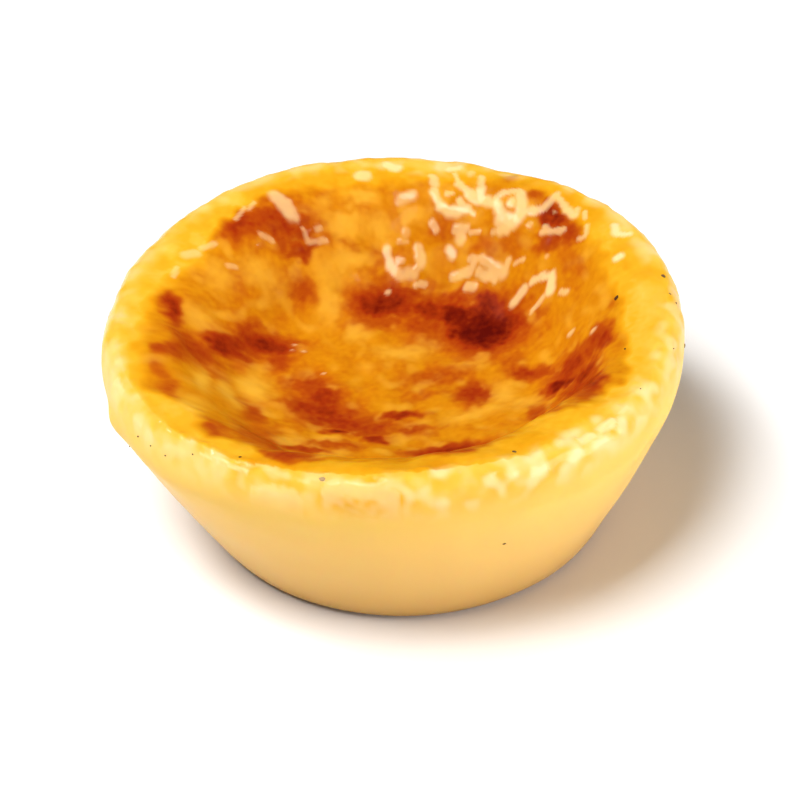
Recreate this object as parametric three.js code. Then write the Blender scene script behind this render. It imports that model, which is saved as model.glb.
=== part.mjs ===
// Milk custard tartlet, baked without a pastry case in a flared round tin and turned out.
// One solid body of set custard: a flat base, a flared wall, a soft uneven lip and a sunken top
// whose skin is lumpy from the oven. Millimetres, +Z up, the base lies on z = 0 and the origin
// is under the middle of the outline.

import * as THREE from "three";
import { ImprovedNoise } from "three/addons/math/ImprovedNoise.js";
import { mergeVertices } from "three/addons/utils/BufferGeometryUtils.js";

// Driving dimensions of the tin-shaped body
const RIM_RADIUS = 37;
const BASE_RADIUS = 26;
const BASE_ROUNDING = 2.1;
const WIDEST_LEVEL = 24.7;
const WALL_BULGE = 0.3;

// Driving dimensions of the lip and the sunken top
const LIP_HEIGHT = 4.4;
const LIP_WIDTH = 2.3;
const LIP_INNER_ROUNDING = 11;
const HOLLOW_DEPTH = 13.4;
const INNER_WALL_SLOPE = THREE.MathUtils.degToRad(46);
const FOOT_ROUNDING = 10;
const FLOOR_EDGE_SLOPE = THREE.MathUtils.degToRad(14);

// How far the cooled custard strays from a true round: the rim leans off the base to one side, and
// its level rises and falls in waves, each with its number of crests, its height and the bearing
// of one crest in degrees (0 is +X, 90 is +Y)
const RIM_LEAN = new THREE.Vector2(-1.3, 0);
const LEVEL_WAVES = [
  { crests: 1, height: 0.45, bearing: 0 },
  { crests: 2, height: 0.45, bearing: 88 },
  { crests: 3, height: 0.75, bearing: 23 },
  { crests: 4, height: 0.45, bearing: 13 },
];

// Puffed swells (up) and collapsed blisters (down) of the baked skin, in plan from the rim's middle
const SKIN_SWELLS = [
  { x: 2.5, y: 22.2, width: 3.2, rise: 0.9 },
  { x: 11.8, y: 19.8, width: 3.2, rise: 0.9 },
  { x: 20, y: 13, width: 3, rise: 0.5 },
  { x: 15, y: 28, width: 3.2, rise: 0.5 },
  { x: -14, y: 26.5, width: 3.4, rise: 0.6 },
  { x: -19.5, y: 12.5, width: 4.2, rise: 0.4 },
  { x: 2, y: 4, width: 4.5, rise: 0.5 },
  { x: -19, y: -6.5, width: 4.5, rise: 0.5 },
  { x: 12, y: -9.5, width: 4.5, rise: 0.5 },
  { x: 19, y: -19.5, width: 6, rise: 1.4 },
  { x: 12, y: 9.7, width: 4.2, rise: -0.2 },
  { x: -1, y: 15.5, width: 3.6, rise: -0.3 },
  { x: -12.5, y: 16, width: 3, rise: -0.3 },
  { x: 23, y: -7.3, width: 4.2, rise: -0.8 },
  { x: -27, y: 5, width: 3.2, rise: -0.5 },
  { x: -9, y: -6.5, width: 5, rise: -0.5 },
  { x: -13, y: -22.5, width: 3.6, rise: -0.6 },
  { x: 21.5, y: 22, width: 3, rise: -0.6 },
  { x: 7, y: -20, width: 3.6, rise: -0.5 },
];

// A drip of custard that ran over the lip and set on the wall
const DRIP = { bearing: 199, level: 22.8, width: 1.7, reach: 1.1 };

// Lumps all over: how wide, and how far they stand out on the wall, the lip and the top
const LUMP_WIDTH = 5.2;
const WALL_LUMPS = 0.12;
const LIP_LUMPS = 0.4;
const TOP_LUMPS = 0.45;
const SMOOTH_WALL_SHARE = 0.7;

// Facets: steps along each stretch of the section, and around
const STEPS_AROUND = 120;
const STEPS = { rounding: 3, wall: 7, lip: 8, innerLip: 8, innerWall: 4, foot: 5, floor: 11 };

const SKIN_COLOUR = 0xf2bc5a;
const SKIN_ROUGHNESS = 0.38;

// Sizes that follow from the driving dimensions
const QUARTER_TURN = Math.PI / 2;
const crestLevel = WIDEST_LEVEL + LIP_HEIGHT;
const crestRadius = RIM_RADIUS - LIP_WIDTH;
const flare = Math.atan((RIM_RADIUS - BASE_RADIUS) / WIDEST_LEVEL);

// Points on an arc of an ellipse, without its first point
function arcPoints(steps, centre, radii, fromAngle, toAngle) {
  const clockwise = toAngle < fromAngle;
  const curve = new THREE.EllipseCurve(
    centre.x, centre.y, radii.x, radii.y, fromAngle, toAngle, clockwise);
  return curve.getPoints(steps).slice(1);
}

// Half of the upright section, from the middle of the base out, up, over the lip and back in.
// Each point knows the zone that it lies in.
function sectionRows() {
  const cornerAngle = QUARTER_TURN + flare;
  const flatRadius = BASE_RADIUS - BASE_ROUNDING / Math.tan(cornerAngle / 2);
  const rounding = arcPoints(
    STEPS.rounding, new THREE.Vector2(flatRadius, BASE_ROUNDING),
    new THREE.Vector2(BASE_ROUNDING, BASE_ROUNDING), -QUARTER_TURN, -flare);

  // The lip is a part of an ellipse that takes over from the wall where both lean alike
  const lipStart = -Math.atan(Math.tan(flare) * LIP_HEIGHT / LIP_WIDTH);
  const lip = arcPoints(
    STEPS.lip, new THREE.Vector2(crestRadius, WIDEST_LEVEL),
    new THREE.Vector2(LIP_WIDTH, LIP_HEIGHT), lipStart, QUARTER_TURN);

  const wallFoot = rounding[rounding.length - 1];
  const wallHead = new THREE.Vector2(
    crestRadius + LIP_WIDTH * Math.cos(lipStart), WIDEST_LEVEL + LIP_HEIGHT * Math.sin(lipStart));
  const bulge = new THREE.Vector2(Math.cos(flare), -Math.sin(flare)).multiplyScalar(2 * WALL_BULGE);
  const wallMiddle = wallFoot.clone().lerp(wallHead, 0.5).add(bulge);
  const wallCurve = new THREE.QuadraticBezierCurve(wallFoot, wallMiddle, wallHead);
  const wall = wallCurve.getPoints(STEPS.wall).slice(1);

  // The crest of the lip rounds over into the inner wall
  const innerLip = arcPoints(
    STEPS.innerLip, new THREE.Vector2(crestRadius, crestLevel - LIP_INNER_ROUNDING),
    new THREE.Vector2(LIP_INNER_ROUNDING, LIP_INNER_ROUNDING),
    QUARTER_TURN, QUARTER_TURN + INNER_WALL_SLOPE);

  // The floor's radius and the inner wall's length are what the roundings leave of the depth and width
  const wallSin = Math.sin(INNER_WALL_SLOPE);
  const wallCos = Math.cos(INNER_WALL_SLOPE);
  const floorSin = Math.sin(FLOOR_EDGE_SLOPE);
  const floorCos = Math.cos(FLOOR_EDGE_SLOPE);
  const runLeft = crestRadius - LIP_INNER_ROUNDING * wallSin - FOOT_ROUNDING * (wallSin - floorSin);
  const dropLeft = HOLLOW_DEPTH - LIP_INNER_ROUNDING * (1 - wallCos) - FOOT_ROUNDING * (floorCos - wallCos);
  const floorRounding = (runLeft * wallSin - dropLeft * wallCos)
    / (floorSin * wallSin - (1 - floorCos) * wallCos);

  const floorLevel = crestLevel - HOLLOW_DEPTH;
  const floorEdge = new THREE.Vector2(
    floorRounding * floorSin, floorLevel + floorRounding * (1 - floorCos));
  const footCentre = new THREE.Vector2(
    floorEdge.x - FOOT_ROUNDING * floorSin, floorEdge.y + FOOT_ROUNDING * floorCos);
  const wallBottom = new THREE.Vector2(
    footCentre.x + FOOT_ROUNDING * wallSin, footCentre.y - FOOT_ROUNDING * wallCos);
  const innerWall = new THREE.LineCurve(innerLip[innerLip.length - 1], wallBottom)
    .getPoints(STEPS.innerWall).slice(1);
  const foot = arcPoints(
    STEPS.foot, footCentre, new THREE.Vector2(FOOT_ROUNDING, FOOT_ROUNDING),
    INNER_WALL_SLOPE - QUARTER_TURN, FLOOR_EDGE_SLOPE - QUARTER_TURN);
  const floor = arcPoints(
    STEPS.floor, new THREE.Vector2(0, floorLevel + floorRounding),
    new THREE.Vector2(floorRounding, floorRounding), FLOOR_EDGE_SLOPE - QUARTER_TURN, -QUARTER_TURN);
  floor[floor.length - 1].x = 0;

  const stretches = [
    { zone: "base", points: [new THREE.Vector2(0, 0), new THREE.Vector2(flatRadius, 0)] },
    { zone: "wall", points: [...rounding, ...wall] },
    { zone: "lip", points: lip },
    { zone: "top", points: [...innerLip, ...innerWall, ...foot, ...floor] },
  ];
  return stretches.flatMap(({ zone, points }) => points.map((point) => ({ zone, point })));
}

// Direction that faces out of the body at each row; straight down and straight up on the axis
function rowNormals(rows) {
  return rows.map(({ point }, index) => {
    if (index === 0) return new THREE.Vector2(0, -1);
    if (index === rows.length - 1) return new THREE.Vector2(0, 1);
    const along = rows[index + 1].point.clone().sub(rows[index - 1].point);
    return new THREE.Vector2(along.y, -along.x).normalize();
  });
}

// Height of all the level waves together at a bearing
function rimLevel(bearing) {
  let level = 0;
  for (const wave of LEVEL_WAVES) {
    const crest = THREE.MathUtils.degToRad(wave.bearing);
    level += wave.height * Math.cos(wave.crests * (bearing - crest));
  }
  return level;
}

// Round bump of height 1 that fades to nothing about two widths away
function bump(distance, width) {
  return Math.exp(-((distance / width) ** 2));
}

function skinSwell(place) {
  let rise = 0;
  for (const swell of SKIN_SWELLS) {
    rise += swell.rise * bump(Math.hypot(place.x - swell.x, place.y - swell.y), swell.width);
  }
  return rise;
}

function dripReach(place) {
  const bearing = THREE.MathUtils.degToRad(DRIP.bearing);
  const outward = place.x * Math.cos(bearing) + place.y * Math.sin(bearing);
  const across = place.x * Math.sin(bearing) - place.y * Math.cos(bearing);
  const facing = outward > 0 ? 1 : 0;
  return facing * DRIP.reach * bump(Math.hypot(across, place.z - DRIP.level), DRIP.width);
}

// How far lumps stand out: none on the base, few on the wall that the tin made smooth
function lumpHeight(zone, level) {
  if (zone === "top") return TOP_LUMPS;
  if (zone === "lip") return LIP_LUMPS;
  const offBase = THREE.MathUtils.smoothstep(level, 0, 3 * BASE_ROUNDING);
  const nearLip = THREE.MathUtils.smoothstep(level, SMOOTH_WALL_SHARE * WIDEST_LEVEL, WIDEST_LEVEL);
  return offBase * THREE.MathUtils.lerp(WALL_LUMPS, LIP_LUMPS, nearLip);
}

// The true lathe shape, then leaned, pulled off level and made lumpy, with the base kept flat
function tartletGeometry() {
  const rows = sectionRows();
  const normals = rowNormals(rows);
  const grain = new ImprovedNoise();
  const lathe = new THREE.LatheGeometry(rows.map((row) => row.point), STEPS_AROUND);
  lathe.rotateX(QUARTER_TURN);
  lathe.deleteAttribute("normal");
  lathe.deleteAttribute("uv");

  const position = lathe.getAttribute("position");
  const place = new THREE.Vector3();
  for (let index = 0; index < position.count; index += 1) {
    const rowIndex = index % rows.length;
    const { zone, point } = rows[rowIndex];
    const normal = normals[rowIndex];
    place.fromBufferAttribute(position, index);

    const bearing = Math.atan2(place.y, place.x);
    const height = Math.min(1, point.y / WIDEST_LEVEL);
    const rimShare = height * Math.min(1, point.x / RIM_RADIUS) ** 2;
    const lump = lumpHeight(zone, place.z)
      * grain.noise(place.x / LUMP_WIDTH, place.y / LUMP_WIDTH, place.z / LUMP_WIDTH);

    let outward = lump * normal.x;
    let upward = lump * normal.y + rimShare * rimLevel(bearing);
    if (zone === "top") upward += skinSwell(place);
    if (zone === "wall" || zone === "lip") outward += dripReach(place);

    place.x += outward * Math.cos(bearing) + height * RIM_LEAN.x;
    place.y += outward * Math.sin(bearing) + height * RIM_LEAN.y;
    place.z += upward;
    position.setXYZ(index, place.x, place.y, place.z);
  }

  const solid = mergeVertices(lathe);
  solid.computeBoundingBox();
  const middle = solid.boundingBox.getCenter(new THREE.Vector3());
  solid.translate(-middle.x, -middle.y, 0);
  solid.computeVertexNormals();
  return solid;
}

const custard = new THREE.MeshStandardMaterial({
  color: SKIN_COLOUR,
  roughness: SKIN_ROUGHNESS,
  metalness: 0,
});

const tartlet = new THREE.Mesh(tartletGeometry(), custard);
tartlet.name = "tartlet";

const group = new THREE.Group();
group.add(tartlet);

export default group;
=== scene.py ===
# %% [markdown]
# # A milk custard tartlet
# A small round custard, baked without a pastry case, has been turned out of its tin and stands on the
# table. Its wall is smooth where the tin shaped it, its lip is soft and uneven, and its sunken top is
# glossy, blistered and browned in patches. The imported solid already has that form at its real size.
# This lesson lays a fine skin over it, gives the skin its blisters, browns it and lights it.

# %% Load the solid
import math
from collections import namedtuple

import bmesh
import bpy
import numpy as np
from mathutils import Matrix, Vector, noise
from mathutils.bvhtree import BVHTree


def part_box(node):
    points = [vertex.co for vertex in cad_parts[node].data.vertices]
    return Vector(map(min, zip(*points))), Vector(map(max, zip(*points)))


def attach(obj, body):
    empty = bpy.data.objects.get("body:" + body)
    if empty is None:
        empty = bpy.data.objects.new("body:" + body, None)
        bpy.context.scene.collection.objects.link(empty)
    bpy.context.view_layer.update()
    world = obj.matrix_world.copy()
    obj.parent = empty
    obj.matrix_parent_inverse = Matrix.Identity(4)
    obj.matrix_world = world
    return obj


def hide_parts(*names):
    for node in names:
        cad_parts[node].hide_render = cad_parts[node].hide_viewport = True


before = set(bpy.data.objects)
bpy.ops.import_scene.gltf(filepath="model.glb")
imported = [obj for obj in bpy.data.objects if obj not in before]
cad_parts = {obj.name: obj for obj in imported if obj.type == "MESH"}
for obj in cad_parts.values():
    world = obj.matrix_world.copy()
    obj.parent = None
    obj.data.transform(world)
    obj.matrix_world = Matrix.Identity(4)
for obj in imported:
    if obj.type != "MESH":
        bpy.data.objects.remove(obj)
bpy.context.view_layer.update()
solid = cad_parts["tartlet"]
MM = 0.001
solid_low, solid_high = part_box("tartlet")
print("solid, mm:", [round(side / MM, 1) for side in solid_high - solid_low])

# %% [markdown]
# The photograph looks down at the tartlet from about 37 degrees above the table, from far enough away
# that the back is hardly smaller than the front. So the camera gets a long lens and stands 444 mm from
# a point inside the custard. It is rolled by a few degrees, because the picture was held a little askew.
# Moving the camera sideways puts that point on the right pixel without any lens shift.

# %% Camera at the photograph's angle
PHOTO_SIDE_PX = 800
SENSOR_WIDTH_MM = 36.0
CAMERA_ELEVATION = math.radians(37.3)
CAMERA_ROLL = math.radians(2.23)
CAMERA_DISTANCE = 444 * MM
LOOK_POINT = Vector((0, 0, 14.8 * MM))
LOOK_POINT_PX = (395.2, 400.4)
PX_PER_METRE = 7766.0

camera_back = Vector((0, -math.cos(CAMERA_ELEVATION), math.sin(CAMERA_ELEVATION)))
level_right = Vector((1, 0, 0))
level_up = camera_back.cross(level_right)
camera_right = level_right * math.cos(CAMERA_ROLL) - level_up * math.sin(CAMERA_ROLL)
camera_up = level_right * math.sin(CAMERA_ROLL) + level_up * math.cos(CAMERA_ROLL)
slide_right = (PHOTO_SIDE_PX / 2 - LOOK_POINT_PX[0]) / PX_PER_METRE
slide_up = (LOOK_POINT_PX[1] - PHOTO_SIDE_PX / 2) / PX_PER_METRE

camera_data = bpy.data.cameras.new("photo_camera")
camera_data.sensor_width = SENSOR_WIDTH_MM
camera_data.lens = PX_PER_METRE * CAMERA_DISTANCE * SENSOR_WIDTH_MM / PHOTO_SIDE_PX
camera = bpy.data.objects.new("photo_camera", camera_data)
bpy.context.collection.objects.link(camera)
camera_place = LOOK_POINT + camera_back * CAMERA_DISTANCE
camera_place += camera_right * slide_right + camera_up * slide_up
camera_axes = Matrix((camera_right, camera_up, camera_back)).transposed()
camera.matrix_world = Matrix.Translation(camera_place) @ camera_axes.to_4x4()
bpy.context.scene.camera = camera
print("lens, mm:", round(camera_data.lens, 1))

# %% [markdown]
# The light is a small studio. Two softboxes high on the left give the soft shadow on the right. A third,
# low at the front right, fills that shadow and lights the right wall, and a weak one low on the left keeps
# the left foot from going dark. The room itself is dim, because custard is wet: whatever is bright up
# there would lie over the browned top like a veil.

# %% Studio light
Softbox = namedtuple("Softbox", "name direction width height brightness")
SOFTBOX_DISTANCE = 1.0
SOFTBOXES = [
    Softbox("key_softbox", Vector((-0.30, -0.28, 0.91)), 0.40, 0.40, 20.0),
    Softbox("side_softbox", Vector((-0.49, 0.09, 0.87)), 0.23, 0.23, 18.0),
    Softbox("fill_softbox", Vector((0.90, -0.36, 0.22)), 0.70, 0.45, 8.0),
    Softbox("left_softbox", Vector((-0.93, -0.25, 0.20)), 0.50, 0.40, 1.5),
]
ROOM_BRIGHTNESS = 0.06

for box in SOFTBOXES:
    lamp = bpy.data.lights.new(box.name, "AREA")
    lamp.shape = "RECTANGLE"
    lamp.size = box.width
    lamp.size_y = box.height
    lamp.energy = box.brightness * math.pi * box.width * box.height
    softbox = bpy.data.objects.new(box.name, lamp)
    softbox.location = LOOK_POINT + box.direction.normalized() * SOFTBOX_DISTANCE
    softbox.rotation_euler = box.direction.to_track_quat("Z", "Y").to_euler()
    bpy.context.collection.objects.link(softbox)

room = bpy.data.worlds.new("white_room")
room.use_nodes = True
room.node_tree.nodes["Background"].inputs["Color"].default_value = (1, 1, 1, 1)
room.node_tree.nodes["Background"].inputs["Strength"].default_value = ROOM_BRIGHTNESS
bpy.context.scene.world = room
bpy.context.scene.view_settings.view_transform = "Standard"
print("softboxes:", [box.name for box in SOFTBOXES])

# %% [markdown]
# The tartlet stands on a plain white table, so wide that its edge is never seen.

# %% Table
TABLE_SIDE = 6.0
TABLE_WHITE = (0.95, 0.95, 0.95, 1)
TABLE_ROUGHNESS = 0.6

table_mesh = bpy.data.meshes.new("table")
half_table = TABLE_SIDE / 2
table_corners = [(-half_table, -half_table, 0), (half_table, -half_table, 0),
                 (half_table, half_table, 0), (-half_table, half_table, 0)]
table_mesh.from_pydata(table_corners, [], [(0, 1, 2, 3)])
table = bpy.data.objects.new("table", table_mesh)
bpy.context.collection.objects.link(table)
white = bpy.data.materials.new("white_table")
white.use_nodes = True
white.node_tree.nodes["Principled BSDF"].inputs["Base Color"].default_value = TABLE_WHITE
white.node_tree.nodes["Principled BSDF"].inputs["Roughness"].default_value = TABLE_ROUGHNESS
table_mesh.materials.append(white)
print("table, m:", TABLE_SIDE)

# %% [markdown]
# The solid is made of flat facets two millimetres wide, which a close look would show. One could bevel
# or subdivide it and keep its facets' pattern, but the skin needs small even squares for its blisters.
# So a rounded double of the solid is made, rays are cast at it, and a new sheet of points lands on it.

# %% A rounded double of the solid to cast rays at
ROUNDING_STEPS = 2
WELD_DISTANCE = 0.001 * MM
ABOVE = 60 * MM

def rounded_double(node):
    """The node with its facets smoothed away, as a tree of faces that rays can hit."""
    weld = bmesh.new()
    weld.from_mesh(node.data)
    bmesh.ops.remove_doubles(weld, verts=weld.verts, dist=WELD_DISTANCE)
    mesh = bpy.data.meshes.new("double")
    weld.to_mesh(mesh)
    weld.free()
    double = bpy.data.objects.new("double", mesh)
    bpy.context.collection.objects.link(double)
    rounding = double.modifiers.new("rounding", "SUBSURF")
    rounding.levels = ROUNDING_STEPS
    tree = BVHTree.FromObject(double, bpy.context.evaluated_depsgraph_get())
    bpy.data.objects.remove(double)
    bpy.data.meshes.remove(mesh)
    return tree

form = rounded_double(solid)

def land(start, direction):
    """Where a ray from start first meets the rounded form."""
    place, _, _, _ = form.ray_cast(start, direction)
    if place is None:
        raise ValueError(f"a ray from {start} misses the tartlet")
    return place

down = Vector((0, 0, -1))
middle_floor = land(Vector((0, 0, ABOVE)), down)
print("floor of the hollow, mm:", round(middle_floor.z / MM, 2))

# %% [markdown]
# The skin is one closed sheet in three parts: a dish in the middle of the top, rings over the lip and the
# wall, and rings under the base. The dish could be rings too, but they would bunch up in the centre. It is
# a square net eased into a disc instead, so that its squares stay even.

# %% Net of the dish
DISH_SQUARES = 164
DISH_RADIUS = 22 * MM
QUARTER = math.pi / 4

side = np.linspace(-1, 1, DISH_SQUARES + 1)
across, along = np.meshgrid(side, side, indexing="ij")
sideways = np.abs(across) > np.abs(along)
reach = np.where(sideways, across, along)
lesser = np.where(sideways, along, across)
share = lesser / np.where(reach == 0, 1, reach)
bearing = np.where(sideways, share * QUARTER, math.pi / 2 - share * QUARTER)
dish_x = (DISH_RADIUS * reach * np.cos(bearing)).ravel()
dish_y = (DISH_RADIUS * reach * np.sin(bearing)).ravel()
points = [land(Vector((x, y, ABOVE)), down) for x, y in zip(dish_x, dish_y)]

net = np.arange((DISH_SQUARES + 1) ** 2).reshape(DISH_SQUARES + 1, -1)
corners = (net[:-1, :-1], net[1:, :-1], net[1:, 1:], net[:-1, 1:])
faces = np.stack([corner.ravel() for corner in corners], axis=1).tolist()
border = np.unique(np.concatenate([net[0], net[-1], net[:, 0], net[:, -1]]))
border_bearing = np.arctan2(dish_y[border], dish_x[border])
rim_order = np.argsort(border_bearing)
first_ring = border[rim_order].tolist()
ring_bearings = border_bearing[rim_order]
print("dish:", len(faces), "squares, border of", len(first_ring), "points")

# %% [markdown]
# Around the dish, rings of points climb over the lip and down the wall. Each ring lies where rays from a
# circle inside the custard come out, so that one family of rays serves the top, the lip and the wall. The
# slopes of the rays are chosen so that the rings lie evenly: close on the lip, wider on the smooth wall.

# %% Rays for the rings
RAY_LEVEL = 13 * MM
LIP_STEP = 0.28 * MM
WALL_STEP = 1.1 * MM
LIP_END = math.radians(28)
TRIAL_RAYS = 400
TRIAL_BEARINGS = np.radians((45, 135, 225, 315))

def section_place(turn, slope):
    """Point of the form on the ray that leaves the inner circle at a bearing, with a slope."""
    outward = Vector((math.cos(turn), math.sin(turn), 0))
    start = outward * DISH_RADIUS + Vector((0, 0, RAY_LEVEL))
    return land(start, outward * math.cos(slope) + Vector((0, 0, math.sin(slope))))

def even_slopes(from_slope, to_slope, step):
    """Slopes of rays that come out of the form about one step apart."""
    trial = np.linspace(from_slope, to_slope, TRIAL_RAYS)
    spacing = np.zeros(len(trial))
    for turn in TRIAL_BEARINGS:
        line = np.array([section_place(turn, slope) for slope in trial])
        spacing[1:] += np.linalg.norm(np.diff(line, axis=0), axis=1) / len(TRIAL_BEARINGS)
    travelled = np.cumsum(spacing)
    count = round(travelled[-1] / step)
    return np.interp(np.linspace(0, travelled[-1], count + 1), travelled, trial)

lip_slopes = even_slopes(math.pi / 2, LIP_END, LIP_STEP)[1:]
wall_slopes = even_slopes(LIP_END, -math.pi / 2, WALL_STEP)[1:]
print("rings on the lip:", len(lip_slopes), "and on the wall:", len(wall_slopes))

# %% [markdown]
# Neighbouring rings are joined by squares. The wall needs only half as many points around as the lip, and
# the base fewer still, so at each change three triangles join two squares' worth of points to one.

# %% Rings over the lip, down the wall and under the base
BASE_RINGS = (18 * MM, 12 * MM, 6 * MM)

def add_ring(places):
    """Appends a ring of points and returns their numbers."""
    start = len(points)
    points.extend(places)
    return list(range(start, len(points)))

def join_rings(outer, inner):
    """Faces between neighbouring rings; the inner one has as many points as the outer, or half."""
    count = len(inner)
    for k in range(count):
        after = (k + 1) % count
        if len(outer) == count:
            faces.append((outer[k], inner[k], inner[after], outer[after]))
        else:
            left = outer[2 * k]
            middle = outer[2 * k + 1]
            right = outer[(2 * k + 2) % len(outer)]
            faces.append((left, inner[k], middle))
            faces.append((middle, inner[k], inner[after]))
            faces.append((middle, inner[after], right))

last_ring = first_ring
for slope in lip_slopes:
    ring = add_ring([section_place(turn, slope) for turn in ring_bearings])
    join_rings(last_ring, ring)
    last_ring = ring
wall_start = len(points)
wall_bearings = ring_bearings[::2]
for slope in wall_slopes:
    ring = add_ring([section_place(turn, slope) for turn in wall_bearings])
    join_rings(last_ring, ring)
    last_ring = ring
base_start = len(points)
base_bearings = wall_bearings
for radius in BASE_RINGS:
    base_bearings = base_bearings[::2]
    circle = [Vector((radius * math.cos(turn), radius * math.sin(turn), 0)) for turn in base_bearings]
    ring = add_ring(circle)
    join_rings(last_ring, ring)
    last_ring = ring
base_middle = add_ring([Vector((0, 0, 0))])[0]
for k, number in enumerate(last_ring):
    faces.append((number, base_middle, last_ring[(k + 1) % len(last_ring)]))

skin_mesh = bpy.data.meshes.new("tartlet_skin")
skin_mesh.from_pydata(points, [], faces)
skin_mesh.shade_smooth()
place = np.array(points)
print("skin:", len(points), "points,", len(faces), "faces")

# %% [markdown]
# Where is a point of the skin: on the sunken top, on the lip, on the wall or underneath? The finish and
# the relief both ask that. A point counts as outside once it has passed the crest of the lip, and the
# answer is kept as a soft share from 0 to 1, so that nothing changes with a hard line.

# %% Zones of the skin
CREST_RADIUS = 34.6 * MM
TOP_EDGE = 31.0 * MM
WALL_FROM = 28.0 * MM
WALL_TO = 23.5 * MM
UNDER = 0.05 * MM
UNDER_FADE = (25.0 * MM, 23.0 * MM)

def soft_step(value, low, high):
    """0 below low, 1 above high, and a smooth ramp between; low may be the larger."""
    t = np.clip((value - low) / (high - low), 0, 1)
    return t * t * (3 - 2 * t)

plan_radius = np.hypot(place[:, 0], place[:, 1])
is_outside = (np.arange(len(place)) >= wall_start) | (plan_radius > CREST_RADIUS)
wall_share = np.where(is_outside, soft_step(place[:, 2], WALL_FROM, WALL_TO), 0.0)
top_share = np.where(is_outside, 0.0, soft_step(plan_radius, CREST_RADIUS, TOP_EDGE))
lip_share = np.clip(1 - wall_share - top_share, 0, 1)
under_share = np.where(place[:, 2] < UNDER, soft_step(plan_radius, *UNDER_FADE), 0.0)
print("share of points on top, lip and wall:",
      [round(float(part.mean()), 2) for part in (top_share, lip_share, wall_share)])

# %% [markdown]
# Nothing on a baked custard is even, so most of what follows is bent by noise: a smooth, random-looking
# value that is the same on each run. A kind of bump has a width and a height in millimetres and a seed,
# which picks its own piece of the noise. Spots are ovals seen from above, also in millimetres. The first
# use of them marks a few places where the skin stayed calm.

# %% Bumps and spots
Bumps = namedtuple("Bumps", "width height seed")
Spot = namedtuple("Spot", "x y half_long half_wide turn")
SEED_SHIFT = (17.3, 5.1, 9.7)
CALM_DEPTH = 0.8
CALM_SPOTS = [
    Spot(-0.8, 16.5, 5.5, 3.4, 0),
    Spot(11.0, 12.0, 7.0, 4.5, -25),
    Spot(-18.0, 13.0, 6.0, 5.0, 0),
    Spot(-12.4, 16.8, 4.0, 4.0, 0),
    Spot(-22.5, -9.0, 5.0, 11.0, 15),
    Spot(-16.0, -20.0, 7.0, 6.0, -35),
]

def lumps(width_mm, seed, stretch=(1, 1, 1), at=place):
    """Smooth lumps about width_mm across, from -1 to 1, at every point of the skin."""
    shift = Vector([seed * step for step in SEED_SHIFT])
    scaled = at / (width_mm * MM * np.array(stretch))
    return np.array([noise.noise(Vector(p) + shift) for p in scaled])

def bumps(kind, stretch=(1, 1, 1), at=place):
    """The lumps of one kind, with their height."""
    return kind.height * lumps(kind.width, kind.seed, stretch, at)

def oval_distance(oval, x_mm, y_mm):
    """0 in the middle of an oval in plan, 1 on its edge."""
    turn = math.radians(oval.turn)
    dx = x_mm - oval.x
    dy = y_mm - oval.y
    along = (dx * math.cos(turn) + dy * math.sin(turn)) / oval.half_long
    across = (dy * math.cos(turn) - dx * math.sin(turn)) / oval.half_wide
    return np.hypot(along, across)

def near(spot):
    """1 in the middle of a spot, 0 a little outside it."""
    return np.exp(-oval_distance(spot, place[:, 0] / MM, place[:, 1] / MM) ** 4)

calm = np.ones(len(place))
for spot in CALM_SPOTS:
    calm *= 1 - CALM_DEPTH * near(spot)
print("liveliness of the skin: mean", round(float(calm.mean()), 2))

# %% [markdown]
# Where the custard touched the edge of its tin, it dried to a thin beaded seam along the crest of the lip.
# It isn't the same all the way round: it stands up at the front left, and is hardly there at the back. So
# its height is a short list of bearings, in degrees from the right, with a height in millimetres at each.

# %% Seam along the lip
SEAM_WIDTH = 0.6 * MM
SEAM_SWAY = Bumps(5.0, 0.9, 20)
SEAM_FADE = (12 * MM, -8 * MM)
SEAM_HEIGHT = [(0, 0.0), (180, 0.0), (215, 0.12), (228, 0.22), (240, 0.20), (250, 0.05), (262, 0.0),
               (272, 0.10), (285, 0.06), (300, 0.04)]
BEAD = Bumps(0.9, 0.30, 13)
plan_bearing = np.degrees(np.arctan2(place[:, 1], place[:, 0]))

def around(steps):
    """A value that changes around the rim, given as pairs of bearing and value."""
    bearings, values = zip(*steps)
    return np.interp(plan_bearing, bearings, values, period=360)

seam_radius = CREST_RADIUS + MM * bumps(SEAM_SWAY)
seam = np.exp(-((plan_radius - seam_radius) / SEAM_WIDTH) ** 2) * (1 - wall_share)
seam *= soft_step(place[:, 1], *SEAM_FADE)
seam_relief = seam * (around(SEAM_HEIGHT) + bumps(BEAD))
print("seam, mm: up to", round(float(seam_relief.max()), 2))

# %% [markdown]
# Heat lifts the custard in lumps and blisters that sink again as it cools. A sculptor would push them in
# by hand. Here each kind is a formula of the place: wide lumps, small bubbles and fine grain on the top,
# bubbles on the lip, a patch of folds, and faint ripples and drag marks on the wall. The points move
# along the skin's own normals, so the relief is real shape and not only a trick of shading. It fades out
# at the foot, because the base stays flat on the table.

# %% Relief of the skin
LUMP = Bumps(4.2, 0.28, 1)
LIP_LUMP_SHARE = 0.25
BUBBLE = Bumps(1.9, 0.12, 2)
GRAIN = Bumps(0.7, 0.018, 3)
LIP_BUBBLE = Bumps(1.6, 0.16, 22)
LIP_GRAIN = Bumps(0.6, 0.035, 23)
WALL_RIPPLE = Bumps(6.0, 0.10, 4)
WALL_DRAG = Bumps(2.2, 0.03, 14)
DRAG_STRETCH = (6, 6, 1)
FOLDED = Spot(-10.0, 23.4, 4.0, 2.6, 0)
FOLD_BEARING = math.radians(27)
FOLD_SPACING = 1.3
FOLD_HEIGHT = 0.06
FOLD_SWAY = Bumps(3.0, 3.0, 12)
FOOT_FADE = (0.3 * MM, 3 * MM)

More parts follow.
